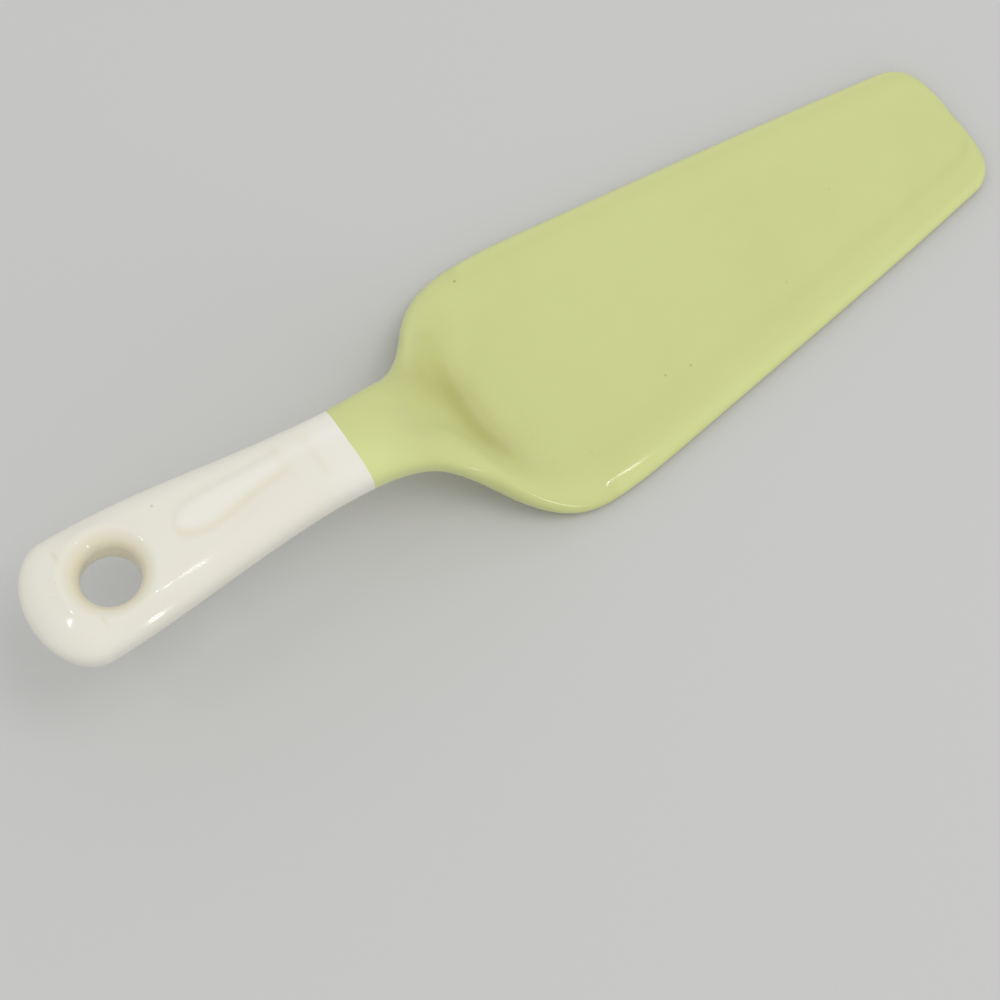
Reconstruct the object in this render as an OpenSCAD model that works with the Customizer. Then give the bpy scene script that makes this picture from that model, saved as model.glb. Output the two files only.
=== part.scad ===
// Cake server: one piece of fired clay, with a green glaze on its blade and neck
// and an ivory glaze on its handle. Millimetres, +X towards the tip, +Z up.
// The origin lies on the table, under the middle of the overall box.

/* [Overall] */
// Length from the end of the handle to the tip of the blade
length = 235; // [210:1:260]
// Thickness of both coats of glaze
glaze_t = 0.4; // [0.3:0.05:0.6]

/* [Handle] */
// Length of the ivory part, from the handle's end to the glaze line
handle_l = 72.5; // [66:0.5:79]
// Width of the handle beside the hanging hole
handle_end_w = 27.8; // [26:0.2:31]
// Width of the handle at its waist
waist_w = 18.8; // [16:0.2:22]
// Distance from the waist to the glaze line
waist_to_line = 2.5; // [1:0.5:5]
// Length of the rounded end of the handle
end_round_l = 10; // [8:0.5:12]
// Height of the top of the handle at its end
handle_top_z = 43.2; // [39:0.2:47]
// Height of the top of the handle at its waist
waist_top_z = 33.8; // [31:0.2:36]
// Thickness of the handle at its end
handle_end_t = 11.4; // [10.6:0.1:12.4]
// Thickness of the handle at its waist
waist_t = 11.2; // [10:0.2:12.6]

/* [Hanging hole] */
// Distance from the end of the handle to the middle of the hole
hole_x = 17.7; // [17:0.1:19.2]
// Radius of the straight wall of the hole, measured on the glaze
hole_r = 6.1; // [5.6:0.1:6.8]
// Radius of the rounding where the hole opens above and below
hole_flare_r = 4; // [3.4:0.1:4.2]
// Angle by which the hole leans back over the blade, in degrees
hole_lean = 10; // [7:0.5:12]

/* [Neck] */
// Distance from the waist to where the neck begins to widen
neck_l = 16; // [13:0.5:19]
// Width of the neck there
neck_w = 22.6; // [20.6:0.2:25]
// Height of the top of the neck there
neck_top_z = 26.8; // [24.8:0.2:28.8]
// Height of the underside of the neck there
neck_low_z = 15.8; // [14:0.2:17.6]
// Distance from the neck to the middle of the shoulders
shoulder_l = 12; // [10:0.5:14]
// Width of the server at the middle of the shoulders
shoulder_w = 43.6; // [40:0.2:48]
// Height of the rim at the middle of the shoulders
shoulder_top_z = 15.4; // [13.4:0.2:17.4]
// Height of the underside at the middle of the shoulders
shoulder_low_z = 5.2; // [4:0.1:6.2]
// Distance from where the dish scoops into the neck to the middle of the shoulders
scoop_l = 16; // [14:0.2:18]
// Height of the floor of that scoop at the middle of the shoulders
scoop_z = 11.6; // [10.2:0.2:12.8]
// Distance from the middle of the shoulders to the foot of the neck's step
step_l = 6.5; // [5.5:0.1:7.5]

/* [Blade] */
// Distance from the middle of the shoulders to the heel, the widest place
heel_l = 20; // [17:0.5:23]
// Width of the blade at its heel
heel_w = 65; // [60:0.2:70]
// Distance from the heel to where the sides run straight
side_bend_l = 22; // [18:0.5:26]
// Width of the blade where its sides begin to run straight
side_bend_w = 61; // [57:0.2:66]
// Width of the blade at its tip, if its corners were sharp
tip_w = 33.6; // [30:0.2:39]
// Length of the rounding at the corners of the tip
tip_round_l = 7.2; // [6:0.2:9]
// Thickness of the blade's rim at its heel
heel_t = 5.3; // [4.8:0.1:6]
// Thickness of the blade at its tip
tip_t = 4.2; // [3.8:0.1:4.8]
// Depth of the shallow dish inside the rim
dish_depth = 0.5; // [0.3:0.05:0.8]
// Width of the rounding along the top edge of the blade
edge_top_w = 6; // [5:0.1:7]
// Width of the rounding along the bottom edge of the blade
edge_low_w = 3; // [2.4:0.1:3.6]
// Length of the rounding at the front edge of the tip
nose_l = 3.6; // [3:0.1:4.5]
// Height of the bare clay that shows below the green glaze
dry_foot_h = 0.8; // [0.6:0.05:1]

/* [Hidden] */

// Places along the length, counted from the end of the handle
waist_x = handle_l - waist_to_line;
neck_x = waist_x + neck_l;
shoulder_x = neck_x + shoulder_l;
scoop_x = shoulder_x - scoop_l;
step_x = shoulder_x + step_l;
heel_x = shoulder_x + heel_l;
side_bend_x = heel_x + side_bend_l;
straight_l = length - side_bend_x;
// How far the hole's roundings reach inside its wall's line, so that the two cross
hole_lip = 0.1;
// Outer radius of the hole's roundings
hole_wide_r = hole_r + hole_flare_r - hole_lip;
// The middle of the handle's straight slope, and where the underside lands
slope_x = hole_x + (waist_x - hole_x) / 2;
land_x = shoulder_x + (heel_x - shoulder_x) * 0.7;

// Slopes of the outline and of the side view where the named places lie
side_slope = (tip_w - side_bend_w) / 2 / straight_l;
shoulder_slope = (heel_w - neck_w) / 2 / (heel_l + shoulder_l) * 2;
neck_slope = 0.25;
handle_slope = (waist_top_z - handle_top_z) / waist_x;
neck_drop_slope = (shoulder_top_z - waist_top_z) / (neck_l + shoulder_l) * 1.2;
shoulder_drop_slope = (heel_t - neck_top_z) / (shoulder_l + heel_l) * 1.5;
low_drop_slope = (shoulder_low_z - neck_low_z) / shoulder_l * 1.15;

// Share of the handle's drop that lies behind the middle of its slope
drop_share = 0.42;

// Half width of the server: [place, value, slope]
half_w_curve = [
    [end_round_l, handle_end_w / 2, 0],
    [waist_x, waist_w / 2, 0],
    [neck_x, neck_w / 2, neck_slope],
    [shoulder_x, shoulder_w / 2, shoulder_slope],
    [heel_x, heel_w / 2, 0],
    [side_bend_x, side_bend_w / 2, side_slope * 0.92],
    [length, tip_w / 2, side_slope * 1.2],
];
// Height of the rim, which is the top where there is no dish
top_curve = [
    [0, handle_top_z, handle_slope * 0.2],
    [slope_x, mix(handle_top_z, waist_top_z, drop_share), handle_slope * 1.45],
    [waist_x, waist_top_z, handle_slope * 2],
    [neck_x, neck_top_z, neck_drop_slope],
    [shoulder_x, shoulder_top_z, shoulder_drop_slope],
    [heel_x, heel_t, 0],
    [length, tip_t, 0],
];
// Height of the floor of the dish, which leaves the rim where its scoop begins
floor_curve = [
    [scoop_x, curve(top_curve, scoop_x), neck_drop_slope * 0.7],
    [shoulder_x, scoop_z, (heel_t - dish_depth - scoop_z) / step_l * 1.25],
    [step_x, heel_t - dish_depth, 0],
    [length, tip_t - dish_depth, 0],
];
// Height of the underside
low_curve = [
    [0, handle_top_z - handle_end_t, handle_slope * 0.2],
    [slope_x, mix(handle_top_z - handle_end_t, waist_top_z - waist_t, drop_share), handle_slope * 1.2],
    [waist_x, waist_top_z - waist_t, handle_slope * 2],
    [neck_x, neck_low_z, low_drop_slope],
    [shoulder_x, shoulder_low_z, low_drop_slope / 2],
    [land_x, 0, 0],
    [length, 0, 0],
];

// The hanging hole's two ends: how each slopes, and where its straight wall ends
hole_behind_x = hole_x - hole_wide_r;
hole_ahead_x = hole_x + hole_wide_r;
hole_top_slope = (curve(top_curve, hole_ahead_x) - curve(top_curve, hole_behind_x)) / 2 / hole_wide_r;
hole_low_slope = (curve(low_curve, hole_ahead_x) - curve(low_curve, hole_behind_x)) / 2 / hole_wide_r;
hole_top_z = curve(top_curve, hole_x) - hole_flare_r;
hole_low_z = mix(curve(low_curve, hole_behind_x), curve(low_curve, hole_ahead_x), 0.5) + hole_flare_r;
hole_mid_z = mix(hole_low_z, hole_top_z, 0.5);

// Shares of the half thickness and the half width that shape the sections
waterline_share = 0.45;
handle_roll_share = 0.92;
floor_share = 0.7;
scoop_share = 0.1;
scoop_width_share = 0.6;
// Exponents of the rounded ends: 2 is an ellipse, more is squarer
end_power = 2;
section_power = 2.8;
tip_along_power = 1.85;
tip_across_power = 4.6;

// Counts of facets: along each stretch, and round a quarter of a section
end_stations = 7;
handle_stations = 11;
neck_stations = 24;
blade_stations = 10;
tip_stations = 9;
roll_steps = 6;
// Places across the top of the dish, as shares of its half width
across_shares = [0.86, 0.7, 0.35, 0, -0.35, -0.7, -0.86];
// Overrun of the roundings past the handle's two sides
overrun = 1;
hole_facets = 64;

ivory = [0.92, 0.91, 0.86];
leaf_green = [0.79, 0.83, 0.55];
fired_clay = [0.86, 0.80, 0.70];

function mix(a, b, t) = a + (b - a) * t;
function limited(t) = min(1, max(0, t));
function eased(t) = let (u = limited(t)) u * u * (3 - 2 * u);

// Cubic curve through a list of [place, value, slope]
function stretch(list, x, i = 0) =
    i >= len(list) - 2 || x < list[i + 1][0] ? i : stretch(list, x, i + 1);
function curve(list, x) =
    let (
        i = stretch(list, x),
        a = list[i],
        b = list[i + 1],
        span = b[0] - a[0],
        t = limited((x - a[0]) / span),
        t2 = t * t,
        t3 = t2 * t
    )
    a[1] * (2 * t3 - 3 * t2 + 1) + a[2] * span * (t3 - 2 * t2 + t)
    + b[1] * (3 * t2 - 2 * t3) + b[2] * span * (t3 - t2);

// Share of the full width and thickness left in the rounded ends
function end_share(x, inset) =
    let (u = limited((end_round_l - x) / (end_round_l - inset)))
    pow(1 - pow(u, end_power), 1 / end_power);
function tip_share(x, inset) =
    let (u = limited((x - length + tip_round_l) / (tip_round_l - inset)))
    pow(1 - pow(u, tip_along_power), 1 / tip_across_power);
function nose_share(x, inset) =
    let (u = limited((x - length + nose_l) / (nose_l - inset)))
    sqrt(1 - u * u);

// How far a section has turned from a round handle into a flat blade
function flatness(x) = eased((x - neck_x) / (shoulder_x - neck_x));

// Half of the width at x, and the width of the rounding along one of its edges
function half_width(x, inset) =
    (curve(half_w_curve, max(x, end_round_l)) - inset) * end_share(x, inset) * tip_share(x, inset);
function roll_width(x, inset, edge_w) =
    let (widest = half_width(x, inset) * handle_roll_share)
    min(mix(widest, edge_w, flatness(x)), widest);

// The outer surface has inset 0, and the clay under the glaze has inset glaze_t.
// The clay's underside isn't inset where it lands, since it is bare there.
function low_inset(x, inset) =
    inset * limited(curve(low_curve, x) / (2 * glaze_t));

// Half width of the dish, and the share of it that its floor takes
function dish_width(x) =
    let (half_w = half_width(x, 0))
    mix(half_w * scoop_width_share, half_w - roll_width(x, 0, edge_top_w), flatness(x));
function flat_share(x) =
    mix(scoop_share, floor_share, eased((x - shoulder_x) / (heel_x - shoulder_x)));

// Height of the top above the waterline at y: the rim outside, the dish inside
function lift(x, y, up_floor, up) =
    mix(up_floor, up, eased((abs(y) / dish_width(x) - flat_share(x)) / (1 - flat_share(x))));

// One section at x, as a loop of points from the waterline over the top and round.
// The clay's dish keeps to the width of the glaze's dish, so that it stays under it.
function section(x, inset) =
    let (
        flat = flatness(x),
        half_w = half_width(x, inset),
        rim = curve(top_curve, x) - inset,
        floor_z = (x > scoop_x ? min(curve(floor_curve, x) - inset, rim) : rim),
        low = curve(low_curve, x) + low_inset(x, inset),
        mid = low + (rim - low) * mix(0.5, waterline_share, flat),
        bulge = end_share(x, inset) * nose_share(x, inset),
        power = mix(section_power, 2, flat),
        roll_top = roll_width(x, inset, edge_top_w),
        roll_low = roll_width(x, inset, edge_low_w),
        across = half_w - roll_top,
        up = (rim - mid) * bulge,
        down = (mid - low) * bulge,
        up_floor = (floor_z - mid) * bulge,
        right_top = [for (i = [0:roll_steps])
            let (a = 90 * i / roll_steps, y = across + roll_top * pow(cos(a), 2 / power))
            [y, mid + lift(x, y, up_floor, up) * pow(sin(a), 2 / power)]],
        dish = [for (s = across_shares)
            [across * s, mid + lift(x, across * s, up_floor, up)]],
        right_low = [for (i = [1:roll_steps]) let (a = 90 * i / roll_steps)
            [half_w - roll_low + roll_low * pow(cos(a), 2 / power), mid - down * pow(sin(a), 2 / power)]],
        left_top = [for (i = [roll_steps:-1:0]) [-right_top[i][0], right_top[i][1]]],
        left_low = [for (p = right_low) [-p[0], p[1]]],
        right_up = [for (i = [roll_steps - 1:-1:0]) right_low[i]]
    )
    [for (p = concat(right_top, dish, left_top, left_low, right_up)) [x, p[0], p[1]]];

// Places of the sections between two ends, closer where the shape turns faster
function places_near_end(inset) =
    [for (i = [1:end_stations]) let (a = 90 * i / end_stations)
        end_round_l - (end_round_l - inset) * cos(a)];
function places_near_tip(inset) =
    [for (i = [0:tip_stations - 1]) let (a = 90 * i / tip_stations)
        length - tip_round_l + (tip_round_l - inset) * sin(a)];
function places_between(a, b, count) = [for (i = [1:count]) mix(a, b, i / count)];
function handle_places(inset) =
    concat(places_near_end(inset), places_between(end_round_l, handle_l, handle_stations));
function blade_places(inset) =
    concat(
        places_between(handle_l, heel_x, neck_stations),
        places_between(heel_x, length - tip_round_l, blade_stations - 1),
        [for (x = places_near_tip(inset)) if (x > length - tip_round_l) x]
    );

// Height of the middle of the rounded ends
function end_mid_z() = (curve(top_curve, 0) + curve(low_curve, 0)) / 2;
function tip_mid_z() = tip_t * waterline_share;

// A closed skin through a list of sections, with a fan at each end. A pole is a
// point that closes a rounded end, and a flat end is closed with one flat face.
module skin(loops, pole_a, pole_b) {
    n = len(loops[0]);
    m = len(loops);
    ring = [for (loop = loops) each loop];
    points = concat(ring, pole_a == undef ? [] : [pole_a], pole_b == undef ? [] : [pole_b]);
    b_index = n * m + (pole_a == undef ? 0 : 1);
    last = (m - 1) * n;
    sides = [for (j = [0:m - 2], i = [0:n - 1]) let (
        a = j * n + i,
        b = j * n + (i + 1) % n
    ) each [[a, b + n, b], [a, a + n, b + n]]];
    start = pole_a == undef
        ? [[for (i = [0:n - 1]) i]]
        : [for (i = [0:n - 1]) [n * m, i, (i + 1) % n]];
    finish = pole_b == undef
        ? [[for (i = [n - 1:-1:0]) last + i]]
        : [for (i = [0:n - 1]) [b_index, last + (i + 1) % n, last + i]];
    polyhedron(points, concat(start, sides, finish), convexity = 10);
}

// Keeps a loop from reaching below the edge of the green glaze
function above(loop, z) = [for (p = loop) [p[0], p[1], max(p[2], z)]];

// The space of the hanging hole, widened by grow, with both rims rounded. Its wall
// leans back, and its roundings follow the slopes of the handle's two sides.
module hanging_hole(grow) {
    top_x = hole_x + (hole_top_z - hole_mid_z) * tan(hole_lean);
    low_x = hole_x + (hole_low_z - hole_mid_z) * tan(hole_lean);
    translate([hole_x, 0, hole_mid_z]) rotate([0, hole_lean, 0])
        cylinder(h = hole_top_z - hole_low_z + 2 * hole_flare_r, r = hole_r + grow, center = true,
            $fn = hole_facets);
    sloped(top_x, hole_top_z, hole_top_slope) hole_flare(grow);
    sloped(low_x, hole_low_z, hole_low_slope) mirror([0, 0, 1]) hole_flare(grow);
}

// Sets a level shape at x and z on a slope along the handle
module sloped(x, z, slope) {
    translate([x, 0, z]) rotate([0, -atan(slope), 0]) children();
}

// The rounding at one end of the hole, opening upwards from the end of its wall
module hole_flare(grow) {
    rotate_extrude($fn = hole_facets) difference() {
        square([hole_wide_r, hole_flare_r + overrun]);
        translate([hole_wide_r, 0]) circle(r = hole_flare_r - grow, $fn = hole_facets);
    }
}

// The clay without its hole, which both coats of glaze lie on
module clay_skin() {
    places = concat(handle_places(glaze_t), blade_places(glaze_t));
    skin(
        [for (x = places) section(x, glaze_t)],
        [glaze_t, 0, end_mid_z()],
        [length - glaze_t, 0, tip_mid_z()]
    );
}

// The one cast and fired piece that carries both glazes
module clay_body() {
    color(fired_clay) translate([-length / 2, 0, 0]) difference() {
        clay_skin();
        hanging_hole(glaze_t);
    }
}

// The green coat on the blade and neck, from the glaze line to the tip
module blade_glaze() {
    places = concat([handle_l], blade_places(0));
    color(leaf_green) translate([-length / 2, 0, 0]) difference() {
        skin(
            [for (x = places) above(section(x, 0), dry_foot_h)],
            undef,
            [length, 0, tip_mid_z()]
        );
        clay_skin();
    }
}

// The ivory coat on the handle, which also lines the hanging hole
module handle_glaze() {
    color(ivory) translate([-length / 2, 0, 0]) difference() {
        skin([for (x = handle_places(0)) section(x, 0)], [0, 0, end_mid_z()], undef);
        hanging_hole(0);
        difference() {
            clay_skin();
            hanging_hole(glaze_t);
        }
    }
}

clay_body();
blade_glaze();
handle_glaze();
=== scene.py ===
"""Glazed ceramic cake server: its visible pieces, their finishes and a plain stage."""
import math

import bmesh
import bpy
import numpy as np
from bpy.props import FloatProperty, FloatVectorProperty, PointerProperty
from bpy.types import Operator, Panel, PropertyGroup
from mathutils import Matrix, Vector


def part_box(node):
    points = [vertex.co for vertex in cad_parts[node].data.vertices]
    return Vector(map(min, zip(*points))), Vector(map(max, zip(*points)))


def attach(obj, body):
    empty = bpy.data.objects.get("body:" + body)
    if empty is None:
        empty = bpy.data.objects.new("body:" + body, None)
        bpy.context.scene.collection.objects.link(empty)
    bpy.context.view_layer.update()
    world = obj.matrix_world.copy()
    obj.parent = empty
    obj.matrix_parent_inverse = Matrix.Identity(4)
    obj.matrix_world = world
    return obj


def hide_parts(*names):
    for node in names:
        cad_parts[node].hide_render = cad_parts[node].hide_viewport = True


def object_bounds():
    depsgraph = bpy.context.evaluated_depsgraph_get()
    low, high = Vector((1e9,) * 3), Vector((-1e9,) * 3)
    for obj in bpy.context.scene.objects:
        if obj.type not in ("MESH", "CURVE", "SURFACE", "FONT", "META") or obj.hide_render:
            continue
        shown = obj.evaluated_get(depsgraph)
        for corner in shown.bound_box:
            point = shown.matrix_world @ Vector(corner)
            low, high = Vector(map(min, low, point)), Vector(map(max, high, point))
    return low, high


bl_info = {
    "name": "Ceramic Cake Server",
    "version": (1, 0, 0),
    "blender": (4, 5, 0),
    "location": "View3D > Sidebar > Cake Server",
    "description": "Builds a glazed ceramic cake server with a hanging hole",
    "category": "Add Mesh",
}

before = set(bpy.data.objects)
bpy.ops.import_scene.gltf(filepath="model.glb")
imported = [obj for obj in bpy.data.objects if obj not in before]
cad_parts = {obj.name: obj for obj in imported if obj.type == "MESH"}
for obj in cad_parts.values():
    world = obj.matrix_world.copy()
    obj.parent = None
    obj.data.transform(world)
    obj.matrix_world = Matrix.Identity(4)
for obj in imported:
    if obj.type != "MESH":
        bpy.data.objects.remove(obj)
CAD_LOW, CAD_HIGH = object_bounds()
BLADE_LOW, BLADE_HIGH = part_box("blade_glaze")
HANDLE_LOW, HANDLE_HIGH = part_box("handle_glaze")
MM = 0.001
HAIR = 1e-9


def size(name, default_mm, description):
    """A length of the object, kept in metres."""
    return FloatProperty(
        name=name, description=description, default=default_mm * MM,
        unit="LENGTH", precision=5)


def share(name, default, description):
    """A plain number, such as a strength or a share of something."""
    return FloatProperty(name=name, description=description, default=default, precision=3)


def tint(name, default, description):
    """A colour, as linear red, green and blue."""
    return FloatVectorProperty(
        name=name, description=description, default=default, subtype="COLOR", size=3, min=0, max=1)


class OverallSizes(PropertyGroup):
    length: size("Length", (CAD_HIGH[0] - CAD_LOW[0]) / MM, "From the handle's end to the tip")
    glaze_t: size("Glaze thickness", 0.4, "Thickness of both coats of glaze")
    foot_h: size("Dry foot", BLADE_LOW[2] / MM, "Height of the bare clay below the green glaze")


class HandleSizes(PropertyGroup):
    length: size("Length", (HANDLE_HIGH[0] - HANDLE_LOW[0]) / MM, "From the end to the glaze line")
    end_w: size("End width", (HANDLE_HIGH[1] - HANDLE_LOW[1]) / MM, "Width beside the hanging hole")
    waist_w: size("Waist width", 18.8, "Width at the waist")
    waist_to_line: size("Waist to line", 2.5, "From the waist to the glaze line")
    end_round_l: size("End rounding", 10, "Length of the rounded end")
    end_top_z: size("End height", 43.2, "Height of the top at the end")
    waist_top_z: size("Waist height", 33.8, "Height of the top at the waist")
    end_t: size("End thickness", 11.4, "Thickness at the end")
    waist_t: size("Waist thickness", 11.2, "Thickness at the waist")
    hole_x: size("Hole place", 17.7, "From the handle's end to the middle of the hanging hole")
    hole_r: size("Hole radius", 6.1, "Radius of the straight wall of the hole")
    flare_r: size("Hole rounding", 4, "Radius of the rounding where the hole opens")
    hole_lean: FloatProperty(
        name="Hole lean", description="Angle by which the hole leans back over the blade",
        default=math.radians(10), subtype="ANGLE")


class NeckSizes(PropertyGroup):
    length: size("Length", 16, "From the waist to where the neck begins to widen")
    width: size("Width", 22.6, "Width of the neck there")
    top_z: size("Top", 26.8, "Height of its top there")
    low_z: size("Underside", 15.8, "Height of its underside there")
    shoulder_l: size("Shoulder length", 12, "From the neck to the middle of the shoulders")
    shoulder_w: size("Shoulder width", 43.6, "Width at the middle of the shoulders")
    shoulder_top_z: size("Shoulder top", 15.4, "Height of the rim at the shoulders")
    shoulder_low_z: size("Shoulder underside", 5.2, "Height of the underside at the shoulders")
    scoop_l: size("Scoop length", 16, "From where the scoop of the dish begins to the shoulders")
    scoop_z: size("Scoop height", 11.6, "Height of the scoop's floor at the shoulders")
    step_l: size("Step length", 6.5, "From the shoulders to the foot of the step")


class BladeSizes(PropertyGroup):
    heel_l: size("Heel length", 20, "From the shoulders to the widest place")
    heel_w: size("Heel width", (BLADE_HIGH[1] - BLADE_LOW[1]) / MM, "Width at the heel")
    bend_l: size("Bend length", 22, "From the heel to where the sides run straight")
    bend_w: size("Bend width", 61, "Width where the sides begin to run straight")
    tip_w: size("Tip width", 33.6, "Width at the tip, if its corners were sharp")
    tip_round_l: size("Tip rounding", 7.2, "Length of the rounded corners of the tip")
    heel_t: size("Heel thickness", 5.3, "Thickness of the rim at the heel")
    tip_t: size("Tip thickness", 4.2, "Thickness at the tip")
    dish_depth: size("Dish depth", 0.5, "Depth of the shallow dish inside the rim")
    edge_top_w: size("Top edge", 6, "Width of the rounding along the top edge")
    edge_low_w: size("Bottom edge", 3, "Width of the rounding along the bottom edge")
    nose_l: size("Nose", 3.6, "Length of the rounding at the front edge")


class ReliefSizes(PropertyGroup):
    collar_r: size("Collar radius", 9.6, "Radius of the crest round the hanging hole")
    collar_h: size("Collar height", 0.3, "Height of that crest")
    petal_h: size("Petal height", 0.45, "Height of the raised petal in the middle of the handle")
    flank_h: size("Flank height", 0.16, "Height of the two ridges beside the petal")
    cuff_h: size("Cuff height", 0.2, "Height of the band across the handle")
    groove_d: size("Groove depth", 0.22, "Depth of the grooves beside the relief")
    line_w: size("Line width", 0.8, "Half width of a narrow groove")


class GlazeColours(PropertyGroup):
    green: tint("Green", (0.60, 0.64, 0.262), "Green glaze at its usual thickness")
    # The pooled green also serves as painted shade in the neck's fold and on the far side of the
    # scoop.
    green_deep_and_shade: tint("Green, pooled", (0.46, 0.45, 0.15), "Green glaze where it lies thick")
    # The thin green also serves as painted light on the near flank of the neck.
    green_thin_and_lit: tint("Green, thin", (0.70, 0.75, 0.32), "Green glaze where it lies thin")
    ivory: tint("Ivory", (0.795, 0.775, 0.678), "Ivory glaze at its usual thickness")
    ivory_deep: tint("Ivory, pooled", (0.75, 0.68, 0.47), "Ivory glaze where it lies thick")
    ivory_thin: tint("Ivory, thin", (0.86, 0.84, 0.77), "Ivory glaze where it lies thin")
    clay: tint("Clay", (0.66, 0.58, 0.46), "Bare fired clay")
    speck: tint("Speck", (0.16, 0.13, 0.06), "Iron specks that show through the glaze")


class StageSizes(PropertyGroup):
    floor: tint("Floor", (0.58, 0.58, 0.57), "Colour of the plain floor")
    sky: share("Sky", 0.76, "Strength of the light from all round")
    window: share("Window", 0.19, "Share of the light that the broad soft lamp gives")
    front: share("Front glint", 0.015, "Share of the light that the thin lamp in front gives")
    side: share("Side glint", 0.016, "Share of the light that the upright lamp at the side gives")
    rear: share("Rear glint", 0.012, "Share of the light that the small lamp behind gives")


GROUPS = {
    "cake_overall": OverallSizes,
    "cake_handle": HandleSizes,
    "cake_neck": NeckSizes,
    "cake_blade": BladeSizes,
    "cake_relief": ReliefSizes,
    "cake_colours": GlazeColours,
    "cake_stage": StageSizes,
}


def eased(t):
    """Smooth step from 0 to 1."""
    u = np.clip(t, 0, 1)
    return u * u * (3 - 2 * u)


def mix(a, b, t):
    return a + (b - a) * t


def bump_of(distance, width):
    """A soft bump, 1 where distance is 0."""
    return np.exp(-(distance / width) ** 2)


def rising(place, start, stretch):
    """0 up to the start and 1 past the stretch. The place alone is in metres."""
    return eased((place - start * MM) / (stretch * MM))


def falling(place, end, stretch):
    """1 until the stretch and 0 past the end. The place alone is in metres."""
    return eased((end * MM - place) / (stretch * MM))


def curve(rows, x):
    """Cubic curve through rows of place, value and slope."""
    rows = np.array(rows)
    i = np.clip(np.searchsorted(rows[:, 0], x, side="right") - 1, 0, len(rows) - 2)
    a = rows[i]
    b = rows[i + 1]
    span = b[..., 0] - a[..., 0]
    t = np.clip((x - a[..., 0]) / span, 0, 1)
    return (a[..., 1] * (2 * t ** 3 - 3 * t ** 2 + 1)
            + a[..., 2] * span * (t ** 3 - 2 * t ** 2 + t)
            + b[..., 1] * (3 * t ** 2 - 2 * t ** 3)
            + b[..., 2] * span * (t ** 3 - t ** 2))


def curve_mm(rows, x):
    """Curve through rows whose places and values are in millimetres."""
    return curve([(place * MM, value * MM, slope) for place, value, slope in rows], x)


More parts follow.
